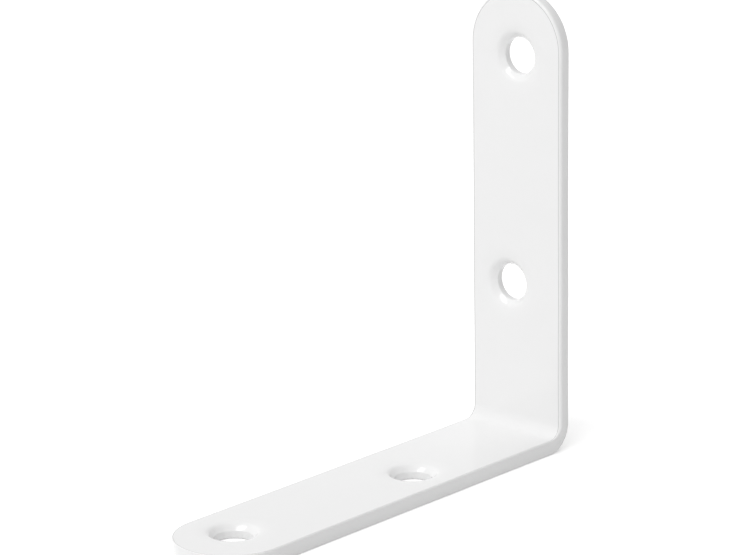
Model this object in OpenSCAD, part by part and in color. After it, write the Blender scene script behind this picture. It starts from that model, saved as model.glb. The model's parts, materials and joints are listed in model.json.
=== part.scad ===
// Corner brace: one steel strip with round ends, bent square, with two countersunk screw holes in each leg.
// The foot lies on Z = 0 along X, the wall leg stands at its low X end, and Y runs across the strip.
// The origin is under the middle of the whole brace.

/* [Strip] */
// Width of the strip
strip_w = 15; // [13:0.5:20]
// Thickness of the strip
strip_t = 2; // [1.8:0.1:3]
// Rounding of the strip's long edges and of its ends' edges
edge_r = 0.4; // [0.2:0.05:0.8]

/* [Legs] */
// Height of the wall leg, from the underside of the foot
wall_h = 62; // [50:1:90]
// Length of the foot, from the back of the wall leg
foot_l = 65; // [50:1:90]

/* [Bend] */
// Radius inside the bend
bend_r = 1.8; // [1:0.1:4]

/* [Screw holes] */
// Diameter of the bore
bore_d = 5.4; // [4.6:0.1:6]
// Diameter of the countersink at the inner face
sink_d = 7.3; // [6.6:0.1:7.6]
// Angle of the countersink
sink_angle = 90; // [82:1:100]
// Rounding of the countersink's rim
rim_r = 1; // [0.1:0.05:1.1]
// Distance from a leg's end to its outer hole
outer_hole_gap = 8.6; // [8:0.1:12]
// Distance from a leg's end to its inner hole
inner_hole_gap = 40; // [24:0.5:42]
// Sideways place of the wall leg's outer hole
wall_outer_y = 0; // [-1.5:0.1:1.5]
// Sideways place of the wall leg's inner hole
wall_inner_y = -1.5; // [-1.5:0.1:1.5]
// Sideways place of the foot's outer hole
foot_outer_y = -1; // [-1.5:0.1:1.5]
// Sideways place of the foot's inner hole
foot_inner_y = 1.4; // [-1.5:0.1:1.5]

/* [Hidden] */
$fn = 96;
half_w = strip_w / 2;
bend_outer_r = bend_r + strip_t;
bore_r = bore_d / 2;
sink_r = sink_d / 2;
half_angle = sink_angle / 2;
sink_depth = (sink_r - bore_r) / tan(half_angle);
// How far the rim's rounding reaches from the sharp corner, along the face and down the cone
rim_reach = rim_r * tan((90 - half_angle) / 2);
// How far a cutter runs past the faces it opens
past = 1;

// The strip's cross-section, lying on Y = 0 and centred on X = 0
module strip_section() {
    translate([-half_w, edge_r]) square([strip_w, strip_t - 2 * edge_r]);
    translate([edge_r - half_w, 0]) square([strip_w - 2 * edge_r, strip_t]);
    for (x = [edge_r - half_w, half_w - edge_r], y = [edge_r, strip_t - edge_r])
        translate([x, y]) circle(edge_r);
}

// The half of the section on one side of the strip's middle, which is turned into a round end
module half_section() {
    intersection() {
        strip_section();
        square([strip_w, strip_t]);
    }
}

// Tool for one screw hole, with the inner face at Z = strip_t
module screw_hole() {
    rim_x = sink_r + rim_reach;
    rotate_extrude() difference() {
        polygon([
            [0, -past],
            [bore_r, -past],
            [bore_r, strip_t - sink_depth],
            [sink_r - rim_reach * sin(half_angle), strip_t - rim_reach * cos(half_angle)],
            [rim_x, strip_t],
            [rim_x, strip_t + past],
            [0, strip_t + past]
        ]);
        translate([rim_x, strip_t - rim_r]) circle(rim_r);
    }
}

// One leg lying along +X, from the end of the bend to its round end, with its two holes
module leg(reach, outer_y, inner_y) {
    difference() {
        union() {
            translate([bend_outer_r, 0, 0]) rotate([90, 0, 90])
                linear_extrude(reach - half_w - bend_outer_r) strip_section();
            translate([reach - half_w, 0, 0]) rotate([0, 0, -90])
                rotate_extrude(angle = 180) half_section();
        }
        translate([reach - outer_hole_gap, outer_y, 0]) screw_hole();
        translate([reach - inner_hole_gap, inner_y, 0]) screw_hole();
    }
}

// The quarter turn between the legs
module bend() {
    translate([bend_outer_r, 0, bend_outer_r]) rotate([90, 180, 0])
        rotate_extrude(angle = 90) translate([bend_outer_r, 0]) rotate([0, 0, 90]) strip_section();
}

// The legs and the bend are drawn from the outer corner, then moved so that the origin is under the middle
module brace() {
    color("white") translate([-foot_l / 2, 0, 0]) union() {
        leg(foot_l, foot_outer_y, foot_inner_y);
        mirror([1, 0, -1]) leg(wall_h, wall_outer_y, wall_inner_y);
        bend();
    }
}

brace();
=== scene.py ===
"""Looks of the corner brace: the formed strip as one mesh, its white enamel, the studio and the camera."""
import json
import math

import bmesh
import bpy
from mathutils import Matrix, Vector


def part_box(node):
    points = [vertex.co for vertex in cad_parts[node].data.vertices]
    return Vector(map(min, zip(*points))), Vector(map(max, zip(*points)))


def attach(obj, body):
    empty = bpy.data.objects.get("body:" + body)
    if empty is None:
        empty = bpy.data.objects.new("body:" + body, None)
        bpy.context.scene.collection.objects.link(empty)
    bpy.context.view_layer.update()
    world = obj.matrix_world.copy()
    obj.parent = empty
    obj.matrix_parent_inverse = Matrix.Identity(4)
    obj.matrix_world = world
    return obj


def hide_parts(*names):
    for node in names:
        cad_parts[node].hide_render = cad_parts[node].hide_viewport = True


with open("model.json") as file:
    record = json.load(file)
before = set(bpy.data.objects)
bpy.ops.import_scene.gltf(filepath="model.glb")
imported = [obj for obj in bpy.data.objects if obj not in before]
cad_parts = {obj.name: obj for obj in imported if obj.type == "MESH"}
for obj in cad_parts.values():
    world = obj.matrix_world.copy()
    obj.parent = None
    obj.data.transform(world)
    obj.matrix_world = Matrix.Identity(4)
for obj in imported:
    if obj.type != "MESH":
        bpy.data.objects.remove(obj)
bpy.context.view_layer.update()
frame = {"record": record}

# One millimetre in metres. Lengths are in millimetres here, unless a comment says otherwise.
MM = 0.001

# The strip. Its width, leg lengths and holes come from the frame.
STRIP_T = 2.0
BEND_R = 1.8

# Each screw hole under its paint, from the inner face inwards: a gentle dip, the rim, the cone, the throat,
# the bore and its edge at the outer face. Slopes are from the face, and the throat's depth is that of the
# sharp corner that it rounds. The bore's paint and burr are taken off its radius.
DISH_WIDTH = 1.5
DISH_SLOPE = math.radians(8)
RIM_R = 1.1
CONE_SLOPE = math.radians(46)
THROAT_DEPTH = 0.95
THROAT_R = 0.15
BORE_PAINT = 0.2
BACK_R = 0.25

# The strip's side. On the foot it is flat between two small roundings. On the wall leg it bulges: from the
# inner face's edge an arc turns outwards to the widest place, a flatter one comes back, and a small one ends
# it. An arc is given by its radius and the turn from the face's normal, in degrees, at which it ends.
EDGE_INSET = 0.3
FOOT_EDGE_R = 0.12
BULGE_OUT = 0.165
BULGE_START = 12
BULGE_ARCS = ((0.47, 90), (5.26, 105), (0.25, 180))
# Half the width of the fine dark line of painted shade that runs along the inner face's edge
LINE_HALF = 0.07

# How far the strip's sides spread beside a punched hole and at the bend, and how far along the strip that
# reaches. The spread fades towards the strip's middle with this power of the distance from it.
HOLE_SWELL = 0.04
HOLE_SWELL_REACH = 5.0
BEND_SWELL = 0.06
BEND_SWELL_REACH = 4.5
SWELL_POWER = 4

# How far the round ends reach past the solid's
END_GROWTH = 0.2

# The enamel: the range of its grey, its gloss, the patches of its tone and the faint orange peel.
# Noise scales are per metre, and the peel's height is in metres.
PAINT_TONES = (0.85, 0.88)
TONE_SCALE = 60
TONE_DETAIL = 2.0
PAINT_ROUGHNESS = 0.14
PAINT_IOR = 1.5
PEEL_SCALE = 900
PEEL_DETAIL = 1.0
PEEL_STRENGTH = 0.04
PEEL_HEIGHT = 0.00005
# Grey of the painted shade along the fine line at the inner face's edge
EDGE_SHADE_GREY = 0.35

# Light levels: the white tent round the brace, the dark gap in it on one side, the tent where it is seen or
# mirrored, and what the floor adds where it is seen
TENT_LIGHT = 0.91
GAP_LIGHT = 0.1
TENT_SEEN = 1.0
FLOOR_GLOW = 0.3
# The middle of the gap as a direction, and how near to it the gap's soft border begins and ends, as a cosine
GAP_DIRECTION = (-0.85, 0.52, 0.0)
GAP_BORDER = (0.2, 0.75)

# The floor: half its side and how far it lies under the brace, in metres, and its grey for light and as seen
FLOOR_HALF = 3.0
FLOOR_DROP = 0.00002
FLOOR_GREY = 0.85
FLOOR_SEEN = 1.0
FLOOR_ROUGHNESS = 0.9

# The strip lamp: its direction, its distance and size in metres, and its power in watts
LAMP_DIRECTION = (0.5, -0.05, 0.86)
LAMP_DISTANCE = 0.9
LAMP_LENGTH = 0.8
LAMP_WIDTH = 0.14
LAMP_POWER = 2.2

# The camera, from a fit of the brace's sizes to the photograph, with its angles in degrees
CAMERA_AZIMUTH = 132.11
CAMERA_ELEVATION = 15.954
CAMERA_ROLL = -0.832
CAMERA_DISTANCE = 453.95
CAMERA_RIGHT = 0.836
CAMERA_UP = -1.097
CAMERA_LENS = 172.99
CAMERA_SENSOR = 36.0
# In metres
CAMERA_CLIP = 0.01

# Mesh steps: the longest step along the strip, and the counts of steps across it, round an end, along an arc
# of the side or the rim, along a throat, along a small arc, and from a hole to its zone's border
STATION_STEP = 0.7
CROSS_STEPS = 22
END_ARC_STEPS = 56
EDGE_STEPS = 8
THROAT_STEPS = 8
SMALL_ARC_STEPS = 4
FACE_RINGS = 6
# Where the fine line lies in the side's list of points
LINE_POINT = 2
# Decimals, in millimetres, to which points of the blank are taken as equal, and the weld's distance in metres
SAME_DIGITS = 5
WELD = 1e-7

# A Mix node has sockets of the same names for numbers and colours, so the colours' are taken by their places
MIX_FACTOR = 0
MIX_COLOUR_A = 6
MIX_COLOUR_B = 7
MIX_COLOUR_OUT = 2

low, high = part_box("brace")
HALF_W = (high[1] - low[1]) / 2 / MM
FOOT_L = (high[0] - low[0]) / MM
WALL_H = (high[2] - low[2]) / MM
BEND_OUTER_R = BEND_R + STRIP_T
BEND_ARC = math.pi / 2 * (BEND_R + STRIP_T / 2)
FLAT_HALF = HALF_W - EDGE_INSET
WALL_END = -(BEND_ARC / 2 + WALL_H - BEND_OUTER_R + END_GROWTH)
FOOT_END = BEND_ARC / 2 + FOOT_L - BEND_OUTER_R + END_GROWTH
# Where the strip's straight sides end and its round ends begin
WALL_ROUND = WALL_END + HALF_W
FOOT_ROUND = FOOT_END - HALF_W


def blank_holes():
    """The holes on the flat blank, each as its place along it, its place across it and its painted radius."""
    holes = []
    for mount in frame["record"]["mounts"]:
        if mount["kind"] != "bore":
            continue
        x, y, z = (v / MM for v in mount["pos_m"])
        on_wall = abs(mount["axis"][0]) > 0.5
        if on_wall:
            u = -(z - BEND_OUTER_R + BEND_ARC / 2)
        else:
            u = x + FOOT_L / 2 - BEND_OUTER_R + BEND_ARC / 2
        holes.append((u, y, mount["dims"]["r_mm"] - BORE_PAINT))
    return sorted(holes)


HOLES = blank_holes()


def arc(cx, cy, radius, start, stop, steps):
    """Points on a circle from one angle to another, in degrees, both ends included."""
    return [
        (cx + radius * math.cos(math.radians(start + (stop - start) * i / steps)),
         cy + radius * math.sin(math.radians(start + (stop - start) * i / steps)))
        for i in range(steps + 1)
    ]


def hole_profile(bore_r):
    """The hole's wall as (radius, height), from the dip in the inner face to the edge at the outer face."""
    dish_r = DISH_WIDTH / math.sin(DISH_SLOPE)
    rim_n = STRIP_T - dish_r * (1 - math.cos(DISH_SLOPE)) - RIM_R * math.cos(DISH_SLOPE)
    cone_n = rim_n + RIM_R * math.cos(CONE_SLOPE)
    corner_n = STRIP_T - THROAT_DEPTH
    throat_n = corner_n - THROAT_R * math.tan((math.pi / 2 - CONE_SLOPE) / 2)
    rim_x = bore_r + (cone_n - corner_n) / math.tan(CONE_SLOPE) + RIM_R * math.sin(CONE_SLOPE)
    dish_x = rim_x - RIM_R * math.sin(DISH_SLOPE) + DISH_WIDTH
    rim_turn = 90 + math.degrees(DISH_SLOPE)
    cone_turn = 90 + math.degrees(CONE_SLOPE)
    dish = arc(dish_x, STRIP_T - dish_r, dish_r, 90, rim_turn, SMALL_ARC_STEPS)
    rim = arc(rim_x, rim_n, RIM_R, rim_turn, cone_turn, EDGE_STEPS)
    throat = arc(bore_r + THROAT_R, throat_n, THROAT_R, cone_turn, 180, THROAT_STEPS)
    back = arc(bore_r + BACK_R, BACK_R, BACK_R, 180, 270, SMALL_ARC_STEPS)
    return dish + rim[1:] + throat + back


def smooth(value):
    """Goes gently from 0 to 1 as value does."""
    value = min(max(value, 0), 1)
    return value * value * (3 - 2 * value)


def foot_side():
    """The foot's side as (outward, height). Some points fall together, to have as many as the wall leg's."""
    middle = EDGE_INSET - FOOT_EDGE_R
    upper = arc(middle, STRIP_T - FOOT_EDGE_R, FOOT_EDGE_R, 90, 0, EDGE_STEPS)
    halfway = [(EDGE_INSET, STRIP_T / 2)] * EDGE_STEPS
    lower = arc(middle, FOOT_EDGE_R, FOOT_EDGE_R, 0, -90, EDGE_STEPS)
    return upper + halfway + lower[1:]


def wall_side():
    """The wall leg's side as (outward, height), from the inner face to the outer."""
    first_r = BULGE_ARCS[0][0]
    turn = BULGE_START
    out = EDGE_INSET + BULGE_OUT - first_r * (1 - math.sin(math.radians(turn)))
    points = [(out, STRIP_T)]
    for radius, end in BULGE_ARCS:
        x, n = points[-1]
        middle_x = x - radius * math.sin(math.radians(turn))
        middle_n = n - radius * math.cos(math.radians(turn))
        points += arc(middle_x, middle_n, radius, 90 - turn, 90 - end, EDGE_STEPS)[1:]
        turn = end
    return points


def edge_profile(u):
    """The strip's side at a station, between the borders of the two faces, with the fine line's points."""
    on_wall = smooth(0.5 - u / BEND_ARC)
    # No point lies below the outer face
    side = [
        (fx + (wx - fx) * on_wall, max(fn + (wn - fn) * on_wall, 0))
        for (fx, fn), (wx, wn) in zip(foot_side(), wall_side())
    ]
    corner_x = side[0][0]
    after = ((corner_x + side[1][0]) / 2, (STRIP_T + side[1][1]) / 2)
    line = [(corner_x - LINE_HALF, STRIP_T), (corner_x, STRIP_T), after]
    return [(0, STRIP_T)] + line + side[1:-1] + [(side[-1][0], 0), (0, 0)]


def even(start, stop, step):
    """Evenly spaced values from start to stop, no further apart than step."""
    count = max(1, math.ceil((stop - start) / step))
    return [start + (stop - start) * i / count for i in range(count + 1)]


def zone_borders():
    """Where the blank's zones begin and end: one for each hole, with plain strip between."""
    borders = []
    for u, _, _ in HOLES:
        borders += [u - HALF_W, u + HALF_W]
    borders[0] = WALL_ROUND
    borders[-1] = FOOT_ROUND
    return borders


def spread_y(u, y):
    """Sideways place of a point of the blank, with the strip's spread there."""
    side = y / HALF_W
    spread = sum(HOLE_SWELL * math.exp(-((u - hu) / HOLE_SWELL_REACH) ** 2) for hu, _, _ in HOLES)
    spread += BEND_SWELL * math.exp(-(u / BEND_SWELL_REACH) ** 2)
    return y + spread * side * abs(side) ** (SWELL_POWER - 1)


def formed(u, y, n):
    """Place in the frame, in metres, of a point u along the blank, y across and n up from its outer face."""
    y = spread_y(u, y)
    if u < -BEND_ARC / 2:
        x, z = n, BEND_OUTER_R - u - BEND_ARC / 2
    elif u > BEND_ARC / 2:
        x, z = BEND_OUTER_R + u - BEND_ARC / 2, n
    else:
        turn = (u / BEND_ARC + 0.5) * math.pi / 2
        radius = BEND_OUTER_R - n
        x = BEND_OUTER_R - radius * math.cos(turn)
        z = BEND_OUTER_R - radius * math.sin(turn)
    return Vector(((x - FOOT_L / 2) * MM, y * MM, z * MM))


class Blank:
    """Collects faces given by points of the blank, and welds equal points."""

    def __init__(self):
        self.points = {}
        self.faces = []
        # Numbers of the points on the fine line
        self.line = set()

    def vertex(self, point):
        """The number of a point, which is added if it is new."""
        key = tuple(round(v, SAME_DIGITS) for v in point)
        return self.points.setdefault(key, len(self.points))

    def quads(self, first, second, closed):
        """Faces between two rows. Where points fall together, a face is a triangle or is left out."""
        count = len(first)
        for i in range(count if closed else count - 1):
            j = (i + 1) % count
            corners = [self.vertex(p) for p in (first[i], first[j], second[j], second[i])]
            if len(set(corners)) > 2:
                self.faces.append(list(dict.fromkeys(corners)))

    def strips(self, rows, closed):
        """Faces between each row of points and the next."""
        for first, second in zip(rows, rows[1:]):
            self.quads(first, second, closed)


def ring(points, centre, radius, share, n):
    """A ring that lies by a share of the way from a circle about the centre to the zone's border."""
    out = []
    for pu, py in points:
        du, dy = pu - centre[0], py - centre[1]
        length = math.hypot(du, dy)
        cu, cy = centre[0] + du / length * radius, centre[1] + dy / length * radius
        out.append((cu + (pu - cu) * share, cy + (py - cy) * share, n))
    return out


def add_hole_zone(blank, border, hole):
    """Both faces round one hole, and the hole's wall."""
    hu, hy, bore_r = hole
    profile = hole_profile(bore_r)
    inner_r = profile[0][0]
    outer_r = profile[-1][0]
    rings = [ring(border, (hu, hy), inner_r, 1 - i / FACE_RINGS, STRIP_T) for i in range(FACE_RINGS)]
    rings += [ring(border, (hu, hy), r, 0, n) for r, n in profile]
    rings += [ring(border, (hu, hy), outer_r, (i + 1) / FACE_RINGS, 0.0) for i in range(FACE_RINGS)]
    blank.strips(rings, True)


def add_plain_zone(blank, rows, cross):
    """Both faces of the strip between two holes' zones."""
    for n in (0.0, STRIP_T):
        blank.strips([[(u, y, n) for y in cross] for u in rows], False)


def add_sides(blank, stations, foot_arc, wall_arc):
    """The strip's side, all the way round the faces' outline."""
    outline = [((u, -FLAT_HALF), (0, -1)) for u in stations[:-1]]
    outline += [(p, ((p[0] - FOOT_ROUND) / FLAT_HALF, p[1] / FLAT_HALF)) for p in foot_arc[:-1]]
    outline += [((u, FLAT_HALF), (0, 1)) for u in reversed(stations[1:])]
    outline += [(p, ((p[0] - WALL_ROUND) / FLAT_HALF, p[1] / FLAT_HALF)) for p in wall_arc[:-1]]
    sides = [[(p[0] + d[0] * out, p[1] + d[1] * out, n) for out, n in edge_profile(p[0])] for p, d in outline]
    blank.strips(sides + sides[:1], False)
    blank.line = {blank.vertex(side[LINE_POINT]) for side in sides}


def build_blank():
    """The whole strip before bending, as welded faces."""
    blank = Blank()
    borders = zone_borders()
    cross = even(-FLAT_HALF, FLAT_HALF, 2 * FLAT_HALF / CROSS_STEPS)
    foot_arc = arc(FOOT_ROUND, 0, FLAT_HALF, -90, 90, END_ARC_STEPS)
    wall_arc = arc(WALL_ROUND, 0, FLAT_HALF, 90, 270, END_ARC_STEPS)
    stations = []
    for zone, (start, stop) in enumerate(zip(borders, borders[1:])):
        rows = even(start, stop, STATION_STEP)
        stations += rows if zone == 0 else rows[1:]
        if zone % 2 == 1:
            add_plain_zone(blank, rows, cross)
            continue
        lower_side = [(u, -FLAT_HALF) for u in rows]
        upper_side = [(u, FLAT_HALF) for u in reversed(rows)]
        far = foot_arc if stop == FOOT_ROUND else [(stop, y) for y in cross]
        near = wall_arc if start == WALL_ROUND else [(start, y) for y in reversed(cross)]
        border = lower_side[:-1] + far[:-1] + upper_side[:-1] + near[:-1]
        add_hole_zone(blank, border, HOLES[zone // 2])
    add_sides(blank, stations, foot_arc, wall_arc)
    return blank


def build_brace():
    """The formed strip as one closed mesh."""
    blank = build_blank()
    mesh = bpy.data.meshes.new("brace_strip")
    mesh.from_pydata([formed(*p) for p in blank.points], [], blank.faces)
    line = mesh.attributes.new("edge_line", "FLOAT", "POINT")
    for index in blank.line:
        line.data[index].value = 1.0
    bm = bmesh.new()
    bm.from_mesh(mesh)
    bmesh.ops.remove_doubles(bm, verts=bm.verts, dist=WELD)
    bmesh.ops.recalc_face_normals(bm, faces=bm.faces)
    bm.to_mesh(mesh)
    bm.free()
    mesh.polygons.foreach_set("use_smooth", [True] * len(mesh.polygons))
    piece = bpy.data.objects.new("painted_strip", mesh)
    bpy.context.scene.collection.objects.link(piece)
    weighted = piece.modifiers.new("even_normals", "WEIGHTED_NORMAL")
    weighted.weight = 100
    weighted.keep_sharp = False
    return piece


def grey(level):
    """An opaque grey."""
    return (level, level, level, 1)


def node_material(name):
    """A new node material, its tree and its shader."""
    material = bpy.data.materials.new(name)
    material.use_nodes = True
    tree = material.node_tree
    return material, tree, tree.nodes["Principled BSDF"]


def noise(tree, place, scale, detail):
    """Noise over the object's own coordinates."""
    node = tree.nodes.new("ShaderNodeTexNoise")
    node.inputs["Scale"].default_value = scale
    node.inputs["Detail"].default_value = detail
    tree.links.new(place.outputs["Object"], node.inputs["Vector"])
    return node.outputs["Fac"]


def colour_mix(tree, factor, second):
    """A node that mixes its first colour with a given second one."""
    node = tree.nodes.new("ShaderNodeMix")
    node.data_type = "RGBA"
    node.inputs[MIX_COLOUR_B].default_value = second
    tree.links.new(factor, node.inputs[MIX_FACTOR])
    return node


def enamel():
    """White gloss enamel, with patches of tone, a faint orange peel and a fine dark line of painted shade
    along the inner face's edge.
    """
    material, tree, shader = node_material("white_enamel")
    shader.inputs["Roughness"].default_value = PAINT_ROUGHNESS
    shader.inputs["IOR"].default_value = PAINT_IOR
    place = tree.nodes.new("ShaderNodeTexCoord")
    bump = tree.nodes.new("ShaderNodeBump")
    bump.inputs["Strength"].default_value = PEEL_STRENGTH
    bump.inputs["Distance"].default_value = PEEL_HEIGHT
    tree.links.new(noise(tree, place, PEEL_SCALE, PEEL_DETAIL), bump.inputs["Height"])
    tree.links.new(bump.outputs["Normal"], shader.inputs["Normal"])
    ramp = tree.nodes.new("ShaderNodeValToRGB")
    ramp.color_ramp.elements[0].color = grey(PAINT_TONES[0])
    ramp.color_ramp.elements[1].color = grey(PAINT_TONES[1])
    tree.links.new(noise(tree, place, TONE_SCALE, TONE_DETAIL), ramp.inputs["Fac"])
    # Painted shade: the points on the fine line along the inner face's edge get a dark grey in the base
    # colour
    line = tree.nodes.new("ShaderNodeAttribute")
    line.attribute_name = "edge_line"
    paint = colour_mix(tree, line.outputs["Fac"], grey(EDGE_SHADE_GREY))
    tree.links.new(ramp.outputs["Color"], paint.inputs[MIX_COLOUR_A])
    tree.links.new(paint.outputs[MIX_COLOUR_OUT], shader.inputs["Base Color"])
    return material


def seen_ray(tree):
    """The socket that is 1 for what the camera sees, itself or in a reflection or through something clear."""
    path = tree.nodes.new("ShaderNodeLightPath")
    direct = tree.nodes.new("ShaderNodeMath")
    direct.operation = "MAXIMUM"
    seen = tree.nodes.new("ShaderNodeMath")
    seen.operation = "MAXIMUM"
    tree.links.new(path.outputs["Is Camera Ray"], direct.inputs[0])
    tree.links.new(path.outputs["Is Glossy Ray"], direct.inputs[1])
    tree.links.new(direct.outputs[0], seen.inputs[0])
    tree.links.new(path.outputs["Is Transmission Ray"], seen.inputs[1])
    return seen.outputs[0]


def add_floor():
    """A wide white floor that keeps a soft shadow."""
    mesh = bpy.data.meshes.new("floor")
    corners = [(x * FLOOR_HALF, y * FLOOR_HALF, 0) for x, y in ((-1, -1), (1, -1), (1, 1), (-1, 1))]
    mesh.from_pydata(corners, [], [(0, 1, 2, 3)])
    floor = bpy.data.objects.new("floor", mesh)
    floor.location.z = -FLOOR_DROP
    bpy.context.scene.collection.objects.link(floor)
    material, tree, shader = node_material("white_floor")
    shader.inputs["Roughness"].default_value = FLOOR_ROUGHNESS
    shader.inputs["Specular IOR Level"].default_value = 0.0
    shader.inputs["Emission Color"].default_value = grey(1)
    seen = seen_ray(tree)
    paint = colour_mix(tree, seen, grey(FLOOR_SEEN))
    paint.inputs[MIX_COLOUR_A].default_value = grey(FLOOR_GREY)
    tree.links.new(paint.outputs[MIX_COLOUR_OUT], shader.inputs["Base Color"])
    glow = tree.nodes.new("ShaderNodeMath")
    glow.operation = "MULTIPLY"
    glow.inputs[1].default_value = FLOOR_GLOW
    tree.links.new(seen, glow.inputs[0])
    tree.links.new(glow.outputs[0], shader.inputs["Emission Strength"])
    mesh.materials.append(material)


def add_world():
    """Pale light from all round but for one darker side, and a white background where it is seen."""
    world = bpy.data.worlds.new("studio")
    bpy.context.scene.world = world
    world.use_nodes = True
    tree = world.node_tree
    background = tree.nodes["Background"]
    place = tree.nodes.new("ShaderNodeTexCoord")
    toward = tree.nodes.new("ShaderNodeVectorMath")
    toward.operation = "DOT_PRODUCT"
    toward.inputs[1].default_value = GAP_DIRECTION
    level = tree.nodes.new("ShaderNodeMapRange")
    level.interpolation_type = "SMOOTHSTEP"
    level.inputs["From Min"].default_value = GAP_BORDER[0]
    level.inputs["From Max"].default_value = GAP_BORDER[1]
    level.inputs["To Min"].default_value = TENT_LIGHT
    level.inputs["To Max"].default_value = GAP_LIGHT
    strength = tree.nodes.new("ShaderNodeMix")
    strength.inputs["B"].default_value = TENT_SEEN
    tree.links.new(place.outputs["Generated"], toward.inputs[0])
    tree.links.new(toward.outputs["Value"], level.inputs["Value"])
    tree.links.new(seen_ray(tree), strength.inputs["Factor"])
    tree.links.new(level.outputs["Result"], strength.inputs["A"])
    tree.links.new(strength.outputs["Result"], background.inputs["Strength"])
    background.inputs["Color"].default_value = grey(1)


def add_lamp():
    """A soft strip lamp that faces the brace's middle. It draws the highlights in the countersinks."""
    data = bpy.data.lights.new("key", "AREA")
    data.shape = "RECTANGLE"
    data.size = LAMP_LENGTH
    data.size_y = LAMP_WIDTH
    data.energy = LAMP_POWER
    lamp = bpy.data.objects.new("key", data)
    away = Vector(LAMP_DIRECTION).normalized()
    lamp.location = away * LAMP_DISTANCE + Vector((0, 0, WALL_H / 2 * MM))
    lamp.rotation_euler = away.to_track_quat("Z", "Y").to_euler()
    bpy.context.scene.collection.objects.link(lamp)


def add_camera():
    """The camera at the photograph's viewing angle, moved a little off the line to the brace's middle."""
    azimuth, elevation, roll = (math.radians(v) for v in (CAMERA_AZIMUTH, CAMERA_ELEVATION, CAMERA_ROLL))
    back = Vector((
        math.sin(azimuth) * math.cos(elevation),
        -math.cos(azimuth) * math.cos(elevation),
        math.sin(elevation),
    ))
    level_right = Vector((0, 0, 1)).cross(back).normalized()
    level_up = back.cross(level_right)
    right = math.cos(roll) * level_right + math.sin(roll) * level_up
    up = back.cross(right)
    middle = Vector((0, 0, WALL_H / 2))
    place = (middle + back * CAMERA_DISTANCE + right * CAMERA_RIGHT + up * CAMERA_UP) * MM
    data = bpy.data.cameras.new("camera")
    data.sensor_width = CAMERA_SENSOR
    data.sensor_fit = "AUTO"
    data.lens = CAMERA_LENS
    data.clip_start = CAMERA_CLIP
    camera = bpy.data.objects.new("camera", data)
    turn = Matrix((right, up, back)).transposed().to_4x4()
    camera.matrix_world = Matrix.Translation(place) @ turn
    bpy.context.scene.collection.objects.link(camera)
    bpy.context.scene.camera = camera


brace = build_brace()
brace.data.materials.append(enamel())
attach(brace, "root")
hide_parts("brace")
add_floor()
add_world()
add_lamp()
add_camera()
bpy.context.scene.view_settings.view_transform = "Standard"
